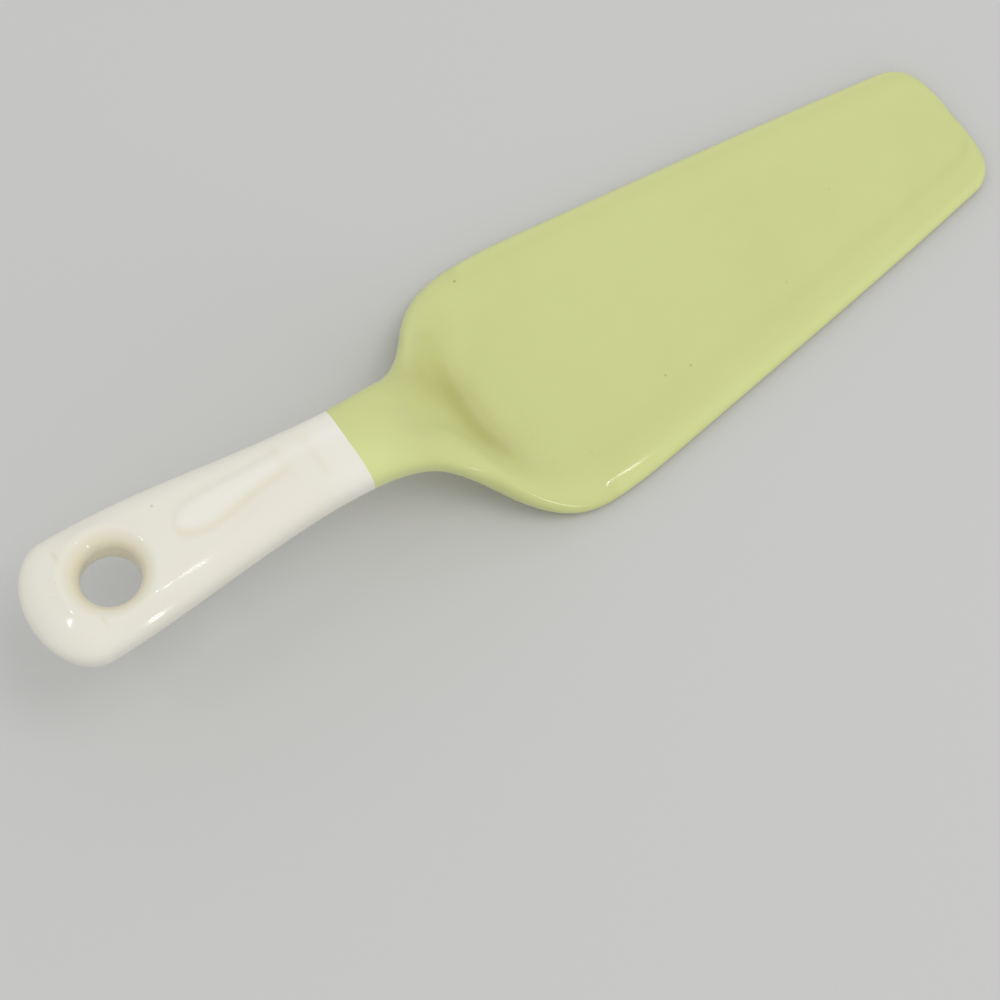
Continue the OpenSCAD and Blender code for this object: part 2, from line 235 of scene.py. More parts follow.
class ServerShape:
    """The server's form: two height fields, its top and its underside, over one outline.

    Places along it are counted from the end of the handle. An inset of 0 is the
    outside of the glaze, and an inset of the glaze's thickness is the clay.
    """

    DROP_SHARE = 0.42
    LAND_SHARE = 0.7
    WATERLINE_SHARE = 0.45
    ROLL_SHARE = 0.92
    FLOOR_SHARE = 0.7
    SCOOP_SHARE = 0.1
    SCOOP_WIDTH_SHARE = 0.6
    SECTION_POWER = 2.8
    TIP_ALONG_POWER = 1.85
    TIP_ACROSS_POWER = 4.6

    # Growth of the half width per length, where the neck begins to widen
    NECK_WIDENING = 0.25

    # Slopes at the curves' places, as shares of the mean slope over the stretch beside them
    END_SLOPE = 0.2
    MIDDLE_TOP_SLOPE = 1.45
    MIDDLE_LOW_SLOPE = 1.2
    WAIST_SLOPE = 2
    NECK_TOP_SLOPE = 1.2
    NECK_LOW_SLOPE = 1.15
    SHOULDER_TOP_SLOPE = 1.5
    SCOOP_SLOPE = 0.7
    STEP_SLOPE = 1.25
    BEND_SLOPE = 0.92
    TIP_SLOPE = 1.2

    # The relief's places, widths and lines on the handle, in millimetres
    CREST_W = 1.4
    PETAL_START = 32.2
    PETAL_END = 61.5
    PETAL_ROUND_X = 40
    PETAL_ROUND_L = 6.8
    PETAL_HALF_WIDTHS = ((40, 3.9, 0), (50, 3, -0.1), (60, 2.6, -0.02))
    PETAL_MIDDLES = ((33, 1.3, 0.02), (40, 1.5, 0.05), (50, 2.4, 0.09), (60, 3.2, 0.08))
    PETAL_TURN_W = 4
    NEAR_RIDGE = ((12, 9.8, -0.05), (24.5, 8.6, -0.12), (32, 7.4, -0.16), (47, 5.3, -0.2),
                  (55, 2.7, -0.35))
    FAR_RIDGE = ((12, 10, 0), (21, 9.9, -0.06), (32, 8.6, -0.08), (55, 7, -0.07))
    RIDGE_START = 10
    RIDGE_END = 57
    CUFF_START = 58.4
    CUFF_END = 65.2
    CUFF_FAR_Y = 7.5
    CREASE_W = 0.4
    CREASES = ((11, 8.4, 1.6), (12.4, -7.4, 1.8))

    # Height above the underside from which a point belongs to the top side, in millimetres
    TOP_SIDE_GAP = 2.5

    def __init__(self, scene):
        self.all = scene.cake_overall
        self.handle = scene.cake_handle
        self.neck = scene.cake_neck
        self.blade = scene.cake_blade
        self.relief_sizes = scene.cake_relief
        handle, neck, blade = self.handle, self.neck, self.blade
        self.length = self.all.length
        self.glaze_x = handle.length
        self.waist_x = handle.length - handle.waist_to_line
        self.neck_x = self.waist_x + neck.length
        self.shoulder_x = self.neck_x + neck.shoulder_l
        self.step_x = self.shoulder_x + neck.step_l
        self.scoop_x = self.shoulder_x - neck.scoop_l
        self.heel_x = self.shoulder_x + blade.heel_l
        self.bend_x = self.heel_x + blade.bend_l
        self.slope_x = mix(handle.hole_x, self.waist_x, 0.5)
        self.land_x = mix(self.shoulder_x, self.heel_x, self.LAND_SHARE)
        self.tip_x = self.length - blade.tip_round_l
        self.make_curves()
        self.lean_hole()

    def make_curves(self):
        handle, neck, blade = self.handle, self.neck, self.blade
        side = (blade.tip_w - blade.bend_w) / 2 / (self.length - self.bend_x)
        shoulder = (blade.heel_w - neck.width) / (blade.heel_l + neck.shoulder_l)
        slope = (handle.waist_top_z - handle.end_top_z) / self.waist_x
        neck_drop = (neck.shoulder_top_z - handle.waist_top_z) / (neck.length + neck.shoulder_l)
        neck_drop *= self.NECK_TOP_SLOPE
        shoulder_drop = (blade.heel_t - neck.top_z) / (neck.shoulder_l + blade.heel_l)
        shoulder_drop *= self.SHOULDER_TOP_SLOPE
        low_drop = (neck.shoulder_low_z - neck.low_z) / neck.shoulder_l * self.NECK_LOW_SLOPE
        end_low_z = handle.end_top_z - handle.end_t
        waist_low_z = handle.waist_top_z - handle.waist_t
        self.half_w_curve = [
            (handle.end_round_l, handle.end_w / 2, 0),
            (self.waist_x, handle.waist_w / 2, 0),
            (self.neck_x, neck.width / 2, self.NECK_WIDENING),
            (self.shoulder_x, neck.shoulder_w / 2, shoulder),
            (self.heel_x, blade.heel_w / 2, 0),
            (self.bend_x, blade.bend_w / 2, side * self.BEND_SLOPE),
            (self.length, blade.tip_w / 2, side * self.TIP_SLOPE),
        ]
        middle_top_z = mix(handle.end_top_z, handle.waist_top_z, self.DROP_SHARE)
        middle_low_z = mix(end_low_z, waist_low_z, self.DROP_SHARE)
        self.top_curve = [
            (0, handle.end_top_z, slope * self.END_SLOPE),
            (self.slope_x, middle_top_z, slope * self.MIDDLE_TOP_SLOPE),
            (self.waist_x, handle.waist_top_z, slope * self.WAIST_SLOPE),
            (self.neck_x, neck.top_z, neck_drop),
            (self.shoulder_x, neck.shoulder_top_z, shoulder_drop),
            (self.heel_x, blade.heel_t, 0),
            (self.length, blade.tip_t, 0),
        ]
        floor_z = blade.heel_t - blade.dish_depth
        step_drop = (floor_z - neck.scoop_z) / neck.step_l * self.STEP_SLOPE
        self.floor_curve = [
            (self.scoop_x, curve(self.top_curve, self.scoop_x), neck_drop * self.SCOOP_SLOPE),
            (self.shoulder_x, neck.scoop_z, step_drop),
            (self.step_x, floor_z, 0),
            (self.length, blade.tip_t - blade.dish_depth, 0),
        ]
        self.low_curve = [
            (0, end_low_z, slope * self.END_SLOPE),
            (self.slope_x, middle_low_z, slope * self.MIDDLE_LOW_SLOPE),
            (self.waist_x, waist_low_z, slope * self.WAIST_SLOPE),
            (self.neck_x, neck.low_z, low_drop),
            (self.shoulder_x, neck.shoulder_low_z, low_drop / 2),
            (self.land_x, 0, 0),
            (self.length, 0, 0),
        ]

    def lean_hole(self):
        """Places of the middle of the hole's wall at its upper and its lower end."""
        handle = self.handle
        top_z = curve(self.top_curve, handle.hole_x) - handle.flare_r
        low_z = curve(self.low_curve, handle.hole_x) + handle.flare_r
        reach = (top_z - low_z) / 2 * math.tan(handle.hole_lean)
        self.hole_top_x = handle.hole_x + reach
        self.hole_low_x = handle.hole_x - reach

    def end_share(self, x, inset):
        reach = self.handle.end_round_l
        u = np.clip((reach - x) / (reach - inset), 0, 1)
        return np.sqrt(1 - u * u)

    def tip_share(self, x, inset):
        u = np.clip((x - self.tip_x) / (self.blade.tip_round_l - inset), 0, 1)
        return (1 - u ** self.TIP_ALONG_POWER) ** (1 / self.TIP_ACROSS_POWER)

    def nose_share(self, x, inset):
        reach = self.blade.nose_l
        u = np.clip((x - self.length + reach) / (reach - inset), 0, 1)
        return np.sqrt(1 - u * u)

    def half_width(self, x, inset):
        full = curve(self.half_w_curve, np.maximum(x, self.handle.end_round_l)) - inset
        return full * self.end_share(x, inset) * self.tip_share(x, inset)

    def low_z(self, x, inset):
        """Underside on the middle line. It isn't inset where it lands, since it is bare there."""
        low = curve(self.low_curve, x)
        return low + inset * np.clip(low / (2 * self.all.glaze_t), 0, 1)

    def rim_z(self, x, inset):
        return curve(self.top_curve, x) - inset

    def flatness(self, x):
        """0 where the section is the round handle's, 1 where it is the flat blade's."""
        return eased((x - self.neck_x) / (self.shoulder_x - self.neck_x))

    def mid_z(self, x, inset):
        low = self.low_z(x, inset)
        waterline = mix(0.5, self.WATERLINE_SHARE, self.flatness(x))
        return low + (self.rim_z(x, inset) - low) * waterline

    def roll_width(self, x, half_w, edge_w):
        """Width of a rounded edge: most of the handle's section, and a strip of the blade's."""
        widest = half_w * self.ROLL_SHARE
        return np.minimum(mix(widest, edge_w, self.flatness(x)), widest)

    def rolled(self, x, y, inset, edge_w):
        """Share of the height that the rounded edge leaves at y."""
        half_w = self.half_width(x, inset)
        roll = np.maximum(self.roll_width(x, half_w, edge_w), HAIR)
        power = mix(self.SECTION_POWER, 2, self.flatness(x))
        c = np.clip((np.abs(y) - (half_w - roll)) / roll, 0, 1)
        return (1 - c ** power) ** (1 / power)

    def dish_half_width(self, x):
        """Half width of the glaze's dish, which the clay's dish keeps to as well."""
        half_w = self.half_width(x, 0)
        inner = half_w - self.roll_width(x, half_w, self.blade.edge_top_w)
        return np.maximum(mix(half_w * self.SCOOP_WIDTH_SHARE, inner, self.flatness(x)), HAIR)

    def funnel(self, x, y, inset, middle_x):
        """Depth by which the hole's rounding lowers the surface."""
        reach = self.handle.flare_r
        ro = np.hypot(x - middle_x, y)
        q = np.clip((self.handle.hole_r + reach - ro) / (reach - inset), 0, 1)
        return (reach - inset) * (1 - np.sqrt(1 - q * q))

    def top(self, x, y, inset):
        share_left = self.rolled(x, y, inset, self.blade.edge_top_w)
        mid = self.mid_z(x, inset)
        rim = self.rim_z(x, inset)
        floor = np.where(x > self.scoop_x, np.minimum(curve(self.floor_curve, x) - inset, rim), rim)
        inside = np.abs(y) / self.dish_half_width(x)
        flat_share = mix(self.SCOOP_SHARE, self.FLOOR_SHARE,
                         eased((x - self.shoulder_x) / (self.heel_x - self.shoulder_x)))
        level = mix(floor, rim, eased((inside - flat_share) / (1 - flat_share)))
        bulge = self.end_share(x, inset) * self.nose_share(x, inset)
        z = mid + (level - mid) * bulge * share_left - self.funnel(x, y, inset, self.hole_top_x)
        return z + (self.relief(x, y) * share_left if inset == 0 else 0)

    def underside(self, x, y, inset):
        share_left = self.rolled(x, y, inset, self.blade.edge_low_w)
        mid = self.mid_z(x, inset)
        bulge = self.end_share(x, inset) * self.nose_share(x, inset)
        z = mid - (mid - self.low_z(x, inset)) * bulge * share_left
        return z + self.funnel(x, y, inset, self.hole_low_x)

    def on_top_side(self, x, z):
        """Whether a point of the outside is clear of the underside."""
        return z > self.low_z(x, 0) + self.TOP_SIDE_GAP * MM

    def petal_half_width(self, x):
        """Half width of the raised petal, round at its end towards the hole."""
        back = self.PETAL_ROUND_X * MM - x
        round_end = np.sqrt(np.clip(1 - (back / (self.PETAL_ROUND_L * MM)) ** 2, 0, 1))
        return curve_mm(self.PETAL_HALF_WIDTHS, x) * np.where(back > 0, round_end, 1)

    def petal(self, x, y):
        """Distance inside the petal's edge, and how far the place is on its far side."""
        middle = curve_mm(self.PETAL_MIDDLES, x)
        half = self.petal_half_width(x)
        step = 0.1 * MM
        slope = (self.petal_half_width(x + step) - self.petal_half_width(x - step)) / (2 * step)
        inside = (half - np.abs(y - middle)) / np.sqrt(1 + np.clip(slope, -4, 4) ** 2)
        return inside, eased(0.5 + (y - middle) / (self.PETAL_TURN_W * MM))

    def hollows(self, x, y):
        """The narrow grooves of the relief: 1 where one is deepest."""
        line_w = self.relief_sizes.line_w
        inside, far = self.petal(x, y)
        outline = bump_of(inside, line_w) * mix(1, 0.12, far)
        outline *= rising(x, self.PETAL_START, 1.4) * falling(x, self.PETAL_END, 5)
        start = bump_of(x - self.CUFF_START * MM, line_w)
        start *= rising(y, 0, 2) * falling(y, self.CUFF_FAR_Y, 2)
        end = bump_of(x - self.CUFF_END * MM, line_w)
        end *= rising(y, -5.5, 3) * falling(y, self.CUFF_FAR_Y, 3)
        total = outline + 0.6 * (start + end)
        for along, across, reach in self.CREASES:
            total += bump_of(x - along * MM, self.CREASE_W * MM) * bump_of(y - across * MM, reach * MM)
        return np.clip(total, 0, 1)

    def relief(self, x, y):
        """Height of the moulded relief on the handle."""
        sizes = self.relief_sizes
        crest_w = self.CREST_W * MM
        ro = np.hypot(x - self.hole_top_x, y)
        collar = sizes.collar_h * bump_of(ro - sizes.collar_r, crest_w)
        inside, far = self.petal(x, y)
        petal = sizes.petal_h * eased(inside / (mix(4.4, 1.8, far) * MM))
        petal *= rising(x, self.PETAL_START, 2) * falling(x, self.PETAL_END, 6)
        near_ridge = bump_of(y + curve_mm(self.NEAR_RIDGE, x), crest_w)
        far_ridge = bump_of(y - curve_mm(self.FAR_RIDGE, x), crest_w)
        flanks = sizes.flank_h * (near_ridge + far_ridge)
        flanks *= rising(x, self.RIDGE_START, 4) * falling(x, self.RIDGE_END, 12)
        cuff = sizes.cuff_h * rising(x, self.CUFF_START, 2) * falling(x, self.CUFF_END, 2)
        cuff *= rising(y, -6.5, 4)
        total = collar + petal + flanks + cuff - sizes.groove_d * self.hollows(x, y)
        return np.where(x < self.glaze_x, total * falling(x, self.glaze_x / MM, 3), 0)


class FieldMesh:
    """Collects the quads of a closed skin made of a top and an underside."""

    ACROSS = 36
    RING_STEPS = 44
    END_STEPS = 80
    SIDE_STEPS = 34
    WALL_STEPS = 4
    EDGE_POWER = 2.2
    MERGE_GAP = 2e-7
    SLIVER_GAP = 1e-8

    def __init__(self, shape, inset):
        self.shape = shape
        self.inset = inset
        self.points = []
        self.faces = []
        t = np.linspace(0, 1, self.ACROSS + 1)
        half = 1 - t ** self.EDGE_POWER
        self.across = np.concatenate([half, -half[-2::-1]])
        t = np.linspace(0, 1, self.RING_STEPS + 1)
        self.ring_shares = np.where(t < 0.5, 2 * t * t, 1 - 0.5 * (2 - 2 * t) ** self.EDGE_POWER)

    def add_grid(self, grid, flip=False):
        """Adds a grid of points, rows by columns, and its quads."""
        start = len(self.points)
        rows, columns = grid.shape[:2]
        self.points.extend(grid.reshape(-1, 3).tolist())
        for r in range(rows - 1):
            for c in range(columns - 1):
                a = start + r * columns + c
                quad = (a, a + 1, a + columns + 1, a + columns)
                self.faces.append(quad[::-1] if flip else quad)

    def top_points(self, x, y):
        return np.stack([x, y, self.shape.top(x, y, self.inset)], axis=-1)

    def low_points(self, x, y):
        return np.stack([x, y, self.shape.underside(x, y, self.inset)], axis=-1)

    def station_grid(self, places):
        """Points of the outline's plane: one row for each place along the server."""
        x = np.repeat(places[:, None], len(self.across), axis=1)
        return x, x * 0 + self.shape.half_width(places, self.inset)[:, None] * self.across[None, :]

    def add_stretch(self, places):
        x, y = self.station_grid(places)
        self.add_grid(self.top_points(x, y))
        self.add_grid(self.low_points(x, y), flip=True)

    def add_cut(self, place, faces_back):
        """Closes the skin with a flat face at one place."""
        x, y = self.station_grid(np.array([place]))
        both = np.concatenate([self.top_points(x, y), self.low_points(x, y)])
        self.add_grid(both, flip=not faces_back)

    def add_handle_end(self, to_x):
        """The handle's end with its hanging hole, on rays from the hole's middle."""
        shape = self.shape
        reach = shape.handle.end_round_l
        angle = np.linspace(math.pi / 2, -math.pi / 2, self.END_STEPS + 1)
        cap_x = reach - (reach - self.inset) * np.cos(angle)
        cap_y = (shape.handle.end_w / 2 - self.inset) * np.sin(angle)
        side_x = np.linspace(to_x, reach, self.SIDE_STEPS + 1)[:-1]
        side_y = shape.half_width(side_x, self.inset)
        cut_y = shape.half_width(np.array([to_x]), self.inset)[0] * self.across[::-1]
        edge_x = np.concatenate([side_x, cap_x, side_x[::-1], cut_y[1:] * 0 + to_x])
        edge_y = np.concatenate([side_y, cap_y, -side_y[::-1], cut_y[1:]])
        top = self.top_points(*self.rays(shape.hole_top_x, edge_x, edge_y))
        low = self.low_points(*self.rays(shape.hole_low_x, edge_x, edge_y))
        self.add_grid(top)
        self.add_grid(low, flip=True)
        steps = np.linspace(0, 1, self.WALL_STEPS + 1)[None, :, None]
        self.add_grid(mix(top[:, :1], low[:, :1], steps), flip=True)

    def rays(self, middle_x, edge_x, edge_y):
        """Places on straight lines from the hole's wall to the outline."""
        theta = np.arctan2(edge_y, edge_x - middle_x)
        wall_r = self.shape.handle.hole_r + self.inset
        inner_x = middle_x + wall_r * np.cos(theta)
        inner_y = wall_r * np.sin(theta)
        x = inner_x[:, None] + (edge_x - inner_x)[:, None] * self.ring_shares[None, :]
        y = inner_y[:, None] + (edge_y - inner_y)[:, None] * self.ring_shares[None, :]
        x[:, -1] = edge_x
        y[:, -1] = edge_y
        return x, y

    def finish(self, name):
        """Makes the object, centred on the middle of the server's length."""
        mesh = bpy.data.meshes.new(name)
        points = np.array(self.points)
        points[:, 0] += CAD_LOW[0]
        mesh.from_pydata(points.tolist(), [], self.faces)
        work = bmesh.new()
        work.from_mesh(mesh)
        bmesh.ops.remove_doubles(work, verts=work.verts, dist=self.MERGE_GAP)
        bmesh.ops.dissolve_degenerate(work, dist=self.SLIVER_GAP, edges=work.edges)
        bmesh.ops.recalc_face_normals(work, faces=work.faces)
        work.to_mesh(mesh)
        work.free()
        piece = bpy.data.objects.new(name, mesh)
        bpy.context.scene.collection.objects.link(piece)
        return piece


HOLE_PART_X = 36 * MM
HANDLE_STATIONS = 92
NECK_STATIONS = 98
BLADE_STATIONS = 76
TIP_STATIONS = 40
TIP_CROWDING = 2.6
TIP_GAP_SHARE = 1e-4


def handle_places(shape):
    return np.linspace(HOLE_PART_X, shape.glaze_x, HANDLE_STATIONS)


def neck_places(shape):
    return np.linspace(shape.glaze_x, shape.heel_x, NECK_STATIONS)


def blade_places(shape):
    return np.linspace(shape.heel_x, shape.tip_x, BLADE_STATIONS)


def tip_places(shape, inset):
    """Places that crowd towards the front edge, down to a hair's breadth from it."""
    t = np.linspace(0, 1, TIP_STATIONS)[1:]
    reach = shape.blade.tip_round_l - inset
    left = (1 - t) ** TIP_CROWDING * (1 - TIP_GAP_SHARE)
    return shape.tip_x + reach * (1 - left - TIP_GAP_SHARE * (t < 1))


def whole_skin(shape, inset, name):
    mesh = FieldMesh(shape, inset)
    mesh.add_handle_end(HOLE_PART_X)
    mesh.add_stretch(np.concatenate([
        handle_places(shape), neck_places(shape)[1:], blade_places(shape)[1:],
        tip_places(shape, inset)]))
    return mesh.finish(name)


def handle_skin(shape, name):
    mesh = FieldMesh(shape, 0)
    mesh.add_handle_end(HOLE_PART_X)
    mesh.add_stretch(handle_places(shape))
    mesh.add_cut(shape.glaze_x, faces_back=False)
    return mesh.finish(name)


def blade_skin(shape, name):
    mesh = FieldMesh(shape, 0)
    mesh.add_cut(shape.glaze_x, faces_back=True)
    mesh.add_stretch(np.concatenate([
        neck_places(shape), blade_places(shape)[1:], tip_places(shape, 0)]))
    return mesh.finish(name)


def dry_slab(shape):
    """The space below the green glaze, where the clay stays bare."""
    work = bmesh.new()
    bmesh.ops.create_cube(work, size=1)
    vec = (2 * shape.length, 2 * shape.blade.heel_w, 2 * shape.all.foot_h)
    bmesh.ops.scale(work, vec=vec, verts=work.verts)
    mesh = bpy.data.meshes.new("dry_slab")
    work.to_mesh(mesh)
    work.free()
    slab = bpy.data.objects.new("dry_slab", mesh)
    bpy.context.scene.collection.objects.link(slab)
    return slab


def carve(piece, cutter):
    """Takes the cutter's space out of the piece and makes the result its mesh."""
    cut = piece.modifiers.new("Space taken out", "BOOLEAN")
    cut.operation = "DIFFERENCE"
    cut.solver = "MANIFOLD"
    cut.object = cutter
    graph = bpy.context.evaluated_depsgraph_get()
    mesh = bpy.data.meshes.new_from_object(piece.evaluated_get(graph))
    piece.modifiers.clear()
    mesh.materials.clear()
    mesh.polygons.foreach_set("material_index", [0] * len(mesh.polygons))
    piece.data = mesh


def soften(piece):
    """Shades the piece smooth, apart from edges that bend by more than 35 degrees."""
    piece.data.shade_smooth()
    piece.data.set_sharp_from_angle(angle=math.radians(35))


def mark(piece, name, values):
    """Stores one number for each point of the piece."""
    layer = piece.data.attributes.new(name, "FLOAT", "POINT")
    layer.data.foreach_set("value", np.asarray(values, dtype=np.float32))


def places_of(piece):
    """The piece's points, counted from the end of the handle."""
    flat = np.empty(len(piece.data.vertices) * 3)
    piece.data.vertices.foreach_get("co", flat)
    points = flat.reshape(-1, 3)
    return points[:, 0] - CAD_LOW[0], points[:, 1], points[:, 2]


class Nodes:
    """Short calls for adding and joining the nodes of one tree."""

    def __init__(self, tree):
        self.tree = tree

    def add(self, kind, **values):
        node = self.tree.nodes.new(kind)
        for key, value in values.items():
            setattr(node, key, value)
        return node

    def put(self, socket, value):
        if isinstance(value, bpy.types.NodeSocket):
            self.tree.links.new(value, socket)
        else:
            socket.default_value = value

    def math(self, operation, a, b, clamp=False):
        node = self.add("ShaderNodeMath", operation=operation, use_clamp=clamp)
        self.put(node.inputs[0], a)
        self.put(node.inputs[1], b)
        return node.outputs[0]

    def mix_colour(self, factor, a, b):
        node = self.add("ShaderNodeMix", data_type="RGBA", blend_type="MIX")
        self.put(node.inputs[0], factor)
        self.put(node.inputs[6], a)
        self.put(node.inputs[7], b)
        return node.outputs[2]

    def noise(self, vector, scale, detail, rough, distortion=0.0):
        node = self.add("ShaderNodeTexNoise")
        self.put(node.inputs["Vector"], vector)
        self.put(node.inputs["Scale"], scale)
        self.put(node.inputs["Detail"], detail)
        self.put(node.inputs["Roughness"], rough)
        self.put(node.inputs["Distortion"], distortion)
        return node.outputs["Fac"]

    def ranged(self, value, from_low, from_high, to_low=0.0, to_high=1.0):
        node = self.add("ShaderNodeMapRange", interpolation_type="SMOOTHSTEP")
        for socket, number in zip(node.inputs[:5], (value, from_low, from_high, to_low, to_high)):
            self.put(socket, number)
        return node.outputs[0]

    def bump(self, height, strength, distance):
        node = self.add("ShaderNodeBump")
        self.put(node.inputs["Height"], height)
        self.put(node.inputs["Strength"], strength)
        self.put(node.inputs["Distance"], distance)
        return node.outputs["Normal"]


def new_group(name, inputs, outputs):
    """A shader group with named sockets: each is a name, a kind and a default."""
    tree = bpy.data.node_groups.new(name, "ShaderNodeTree")
    for label, kind, default in inputs:
        socket = tree.interface.new_socket(label, in_out="INPUT", socket_type=kind)
        if default is not None:
            socket.default_value = default
    for label, kind in outputs:
        tree.interface.new_socket(label, in_out="OUTPUT", socket_type=kind)
    nodes = Nodes(tree)
    return nodes, nodes.add("NodeGroupInput").outputs, nodes.add("NodeGroupOutput").inputs


NUMBER = "NodeSocketFloat"
COLOUR = "NodeSocketColor"
VECTOR = "NodeSocketVector"


def glaze_tone_group():
    """Colour of a glaze: thin on crests, deep in hollows, and mottled from the kiln. On the green
    glaze the pool mark also carries painted shade, and the crest mark also carries painted light.
    """
    name = "Glaze tone"
    if name in bpy.data.node_groups:
        return bpy.data.node_groups[name]
    nodes, given, out = new_group(
        name,
        [("Vector", VECTOR, None), ("Base", COLOUR, (1, 1, 1, 1)), ("Deep", COLOUR, (1, 1, 1, 1)),
         ("Thin", COLOUR, (1, 1, 1, 1)), ("Pool", NUMBER, 0.0), ("Crest", NUMBER, 0.0),
         ("Mottle", NUMBER, 0.1)],
        [("Color", COLOUR), ("Roughness", NUMBER), ("Height", NUMBER)])
    drift = nodes.noise(given["Vector"], scale=26.0, detail=3.0, rough=0.55, distortion=0.4)
    cloud = nodes.noise(given["Vector"], scale=110.0, detail=3.0, rough=0.6, distortion=0.3)
    grain = nodes.noise(given["Vector"], scale=1500.0, detail=2.0, rough=0.7)
    swing = nodes.math("ADD", nodes.math("MULTIPLY", nodes.math("SUBTRACT", drift, 0.5), 1.6),
                       nodes.math("SUBTRACT", cloud, 0.5))
    swing = nodes.math("ADD", swing, nodes.math("MULTIPLY", nodes.math("SUBTRACT", grain, 0.5), 0.5))
    swing = nodes.math("MULTIPLY", swing, given["Mottle"])
    pool_and_shade = nodes.math("ADD", given["Pool"], nodes.math("MAXIMUM", swing, 0.0), clamp=True)
    crest = nodes.math("SUBTRACT", given["Crest"], nodes.math("MINIMUM", swing, 0.0), clamp=True)
    toned = nodes.mix_colour(pool_and_shade, given["Base"], given["Deep"])
    nodes.put(out["Color"], nodes.mix_colour(crest, toned, given["Thin"]))
    rough = nodes.math("ADD", nodes.math("MULTIPLY", cloud, 0.05), nodes.math("MULTIPLY", grain, 0.04))
    nodes.put(out["Roughness"], rough)
    ripple = nodes.noise(given["Vector"], scale=190.0, detail=1.0, rough=0.4)
    nodes.put(out["Height"], nodes.math("ADD", ripple, nodes.math("MULTIPLY", grain, 0.03)))
    return nodes.tree


def pinhole_group():
    """Scattered pinholes: a mask, 1 in each pinhole."""
    name = "Pinholes"
    if name in bpy.data.node_groups:
        return bpy.data.node_groups[name]
    nodes, given, out = new_group(
        name, [("Vector", VECTOR, None), ("Scale", NUMBER, 160.0), ("Radius", NUMBER, 0.03),
               ("Keep", NUMBER, 0.1)], [("Mask", NUMBER)])
    cells = nodes.add("ShaderNodeTexVoronoi", feature="F1")
    nodes.put(cells.inputs["Vector"], given["Vector"])
    nodes.put(cells.inputs["Scale"], given["Scale"])
    dot = nodes.ranged(nodes.math("DIVIDE", cells.outputs["Distance"], given["Radius"]), 1.0, 0.4)
    pick = nodes.add("ShaderNodeSeparateColor")
    nodes.put(pick.inputs[0], cells.outputs["Color"])
    kept = nodes.math("LESS_THAN", pick.outputs[0], given["Keep"])
    nodes.put(out["Mask"], nodes.math("MULTIPLY", dot, kept))
    return nodes.tree


def speck_group():
    """One ragged iron speck under a glaze: a mask, 1 at its place."""
    name = "Speck"
    if name in bpy.data.node_groups:
        return bpy.data.node_groups[name]
    nodes, given, out = new_group(
        name, [("Vector", VECTOR, None), ("Place", VECTOR, None), ("Radius", NUMBER, 0.4 * MM)],
        [("Mask", NUMBER)])
    ragged = nodes.noise(given["Vector"], scale=2600.0, detail=2.0, rough=0.6)
    gap = nodes.add("ShaderNodeVectorMath", operation="DISTANCE")
    nodes.put(gap.inputs[0], given["Vector"])
    nodes.put(gap.inputs[1], given["Place"])
    reach = nodes.math("MULTIPLY", given["Radius"], nodes.math("ADD", ragged, 0.6))
    ratio = nodes.math("DIVIDE", gap.outputs["Value"], reach)
    nodes.put(out["Mask"], nodes.ranged(ratio, 1.0, 0.35))
    return nodes.tree


def use_group(nodes, tree, **inputs):
    node = nodes.add("ShaderNodeGroup", node_tree=tree)
    for label, value in inputs.items():
        nodes.put(node.inputs[label], value)
    return node.outputs


def new_material(name):
    material = bpy.data.materials.new(name)
    material.use_nodes = True
    nodes = Nodes(material.node_tree)
    return material, nodes, material.node_tree.nodes["Principled BSDF"].inputs


def four(colour):
    return (*colour, 1.0)


def glaze_material(name, base, deep, thin, roughness, mottle, ripple, specks, speck):
    material, nodes, shader = new_material(name)
    place = nodes.add("ShaderNodeTexCoord").outputs["Object"]
    # These marks carry pooled and thin glaze, and on the green glaze also painted shade and painted
    # light.
    pool_and_shade = nodes.add("ShaderNodeAttribute", attribute_name="pool_and_shade").outputs["Fac"]
    crest = nodes.add("ShaderNodeAttribute", attribute_name="crest").outputs["Fac"]
    tone = use_group(nodes, glaze_tone_group(), Vector=place, Base=four(base), Deep=four(deep),
                     Thin=four(thin), Pool=pool_and_shade, Crest=crest, Mottle=mottle)
    dark = 0.0
    for x, y, z, radius, depth in specks:
        spot = use_group(nodes, speck_group(), Vector=place, Place=(x, y, z), Radius=radius)
        dark = nodes.math("MAXIMUM", dark, nodes.math("MULTIPLY", spot["Mask"], depth))
    nodes.put(shader["Base Color"], nodes.mix_colour(dark, tone["Color"], four(speck)))
    nodes.put(shader["Roughness"], nodes.math("ADD", tone["Roughness"], roughness))
    height = nodes.math("SUBTRACT", tone["Height"], nodes.math("MULTIPLY", dark, 0.3))
    nodes.put(shader["Normal"], nodes.bump(height, strength=0.5, distance=ripple))
    nodes.put(shader["IOR"], 1.5)
    return material


def specks_on(shape, rows):
    """Specks on the top surface. A row is a place along and across and a radius, in
    millimetres, and how dark the speck is."""
    for x, y, radius, depth in rows:
        along, across = np.array([x * MM]), np.array([y * MM])
        height = float(shape.top(along, across, 0)[0])
        yield x * MM + CAD_LOW[0], y * MM, height, radius * MM, depth


BLADE_SPECKS = ((116.8, 28.3, 0.5, 0.4), (142.4, -15.9, 0.4, 0.28), (148.3, -17.1, 0.45, 0.24),
                (177.7, -12.7, 0.4, 0.12), (199.5, 0.3, 0.35, 0.12), (118.8, -21.6, 0.35, 0.12))
HANDLE_SPECKS = ((32.1, 7.3, 0.35, 0.3), (8.4, 3.3, 0.2, 0.2), (6.3, 1.6, 0.2, 0.2))
SAND_COLOUR = (0.9, 0.85, 0.74)
PORE_COLOUR = (0.25, 0.2, 0.14)


